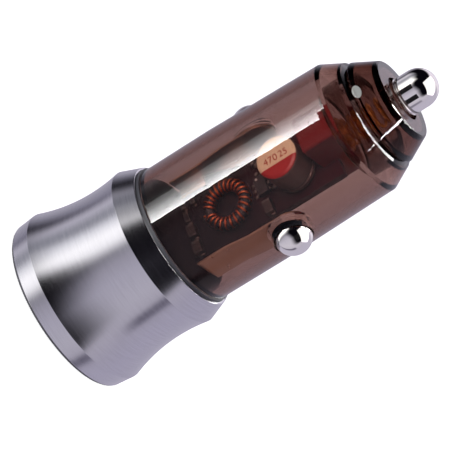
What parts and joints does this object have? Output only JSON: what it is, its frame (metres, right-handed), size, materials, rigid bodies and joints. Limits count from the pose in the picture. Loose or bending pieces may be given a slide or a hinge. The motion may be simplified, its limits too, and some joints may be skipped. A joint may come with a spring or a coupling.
{
  "type": "car usb charger plug",
  "caption": "Car charger plug with an aluminium head, a smoke-clear barrel over its circuit board, a sprung tip contact and sprung side contacts.",
  "frame": {"origin": "centre of the port face, which the plug stands on", "axes": "+Z along the plug from the port face to the tip contact, +X through one side contact, -Y the side that the main board's component face looks to"},
  "size_m": [0.0266, 0.0266, 0.0624],
  "materials": {
    "head_aluminium": "satin, finely turned",
    "black_plastic": "fine matt moulding",
    "smoke_clear": "polished smoke-brown clear plastic",
    "nickel": "bright nickel plate",
    "port_steel": "plain plated sheet",
    "white_plastic": "fine moulding",
    "contact_gold": "thin gold plate",
    "board_mask": "dark solder mask",
    "copper_wire": "enamelled copper",
    "ferrite": "coated ferrite",
    "can_metal": "satin can",
    "bung_rubber": "matt",
    "tinned_metal": "tinned",
    "chip_black": "fine moulded epoxy",
    "ceramic_tan": "fired, with tinned ends",
    "red_insulator": "smooth moulding",
    "spring_brass": "bright spring metal"
  },
  "bodies": {
    "plug": {"head_shell": "head_aluminium", "face_plate": "black_plastic", "port_carrier": "black_plastic", "port_a_shell": "port_steel", "port_a_tongue": "white_plastic", "port_a_contacts": "contact_gold", "port_c_shell": "port_steel", "port_c_tongue": "black_plastic", "port_c_contacts": "contact_gold", "port_board": "board_mask", "main_board": "board_mask", "clear_barrel": "smoke_clear", "nose_cap": "smoke_clear", "pin_spring": "spring_brass", "spring_seat": "red_insulator", "spring_terminal": "spring_brass", "ground_spring_right": "spring_brass", "ground_spring_left": "spring_brass", "choke_core": "ferrite", "choke_winding": "copper_wire", "input_capacitor_can": "can_metal", "input_capacitor_bung": "bung_rubber", "output_capacitor_can": "can_metal", "output_capacitor_bung": "bung_rubber", "capacitor_leads": "tinned_metal", "controller_chip": "chip_black", "controller_legs": "tinned_metal", "power_switch": "chip_black", "power_switch_legs": "tinned_metal", "freewheel_diode": "chip_black", "chip_resistors": "chip_black", "chip_capacitors": "ceramic_tan"},
    "tip_contact": {"contact_pin": "nickel"},
    "right_contact": {"side_contact_right": "nickel"},
    "left_contact": {"side_contact_left": "nickel"}
  },
  "joints": [
    {"name": "tip_contact_press", "type": "slide", "parent": "plug", "child": "tip_contact", "axis": [0, 0, -1], "range_m": [0, 0.003], "stiffness_N_per_m": 1500, "springref_m": -0.003, "deforming": ["pin_spring"]},
    {"name": "right_contact_press", "type": "slide", "parent": "plug", "child": "right_contact", "axis": [-1, 0, 0], "range_m": [0, 0.0021], "stiffness_N_per_m": 1200, "springref_m": -0.002, "deforming": ["ground_spring_right"]},
    {"name": "left_contact_press", "type": "slide", "parent": "plug", "child": "left_contact", "axis": [1, 0, 0], "range_m": [0, 0.0021], "stiffness_N_per_m": 1200, "springref_m": -0.002, "deforming": ["ground_spring_left"]}
  ]
}
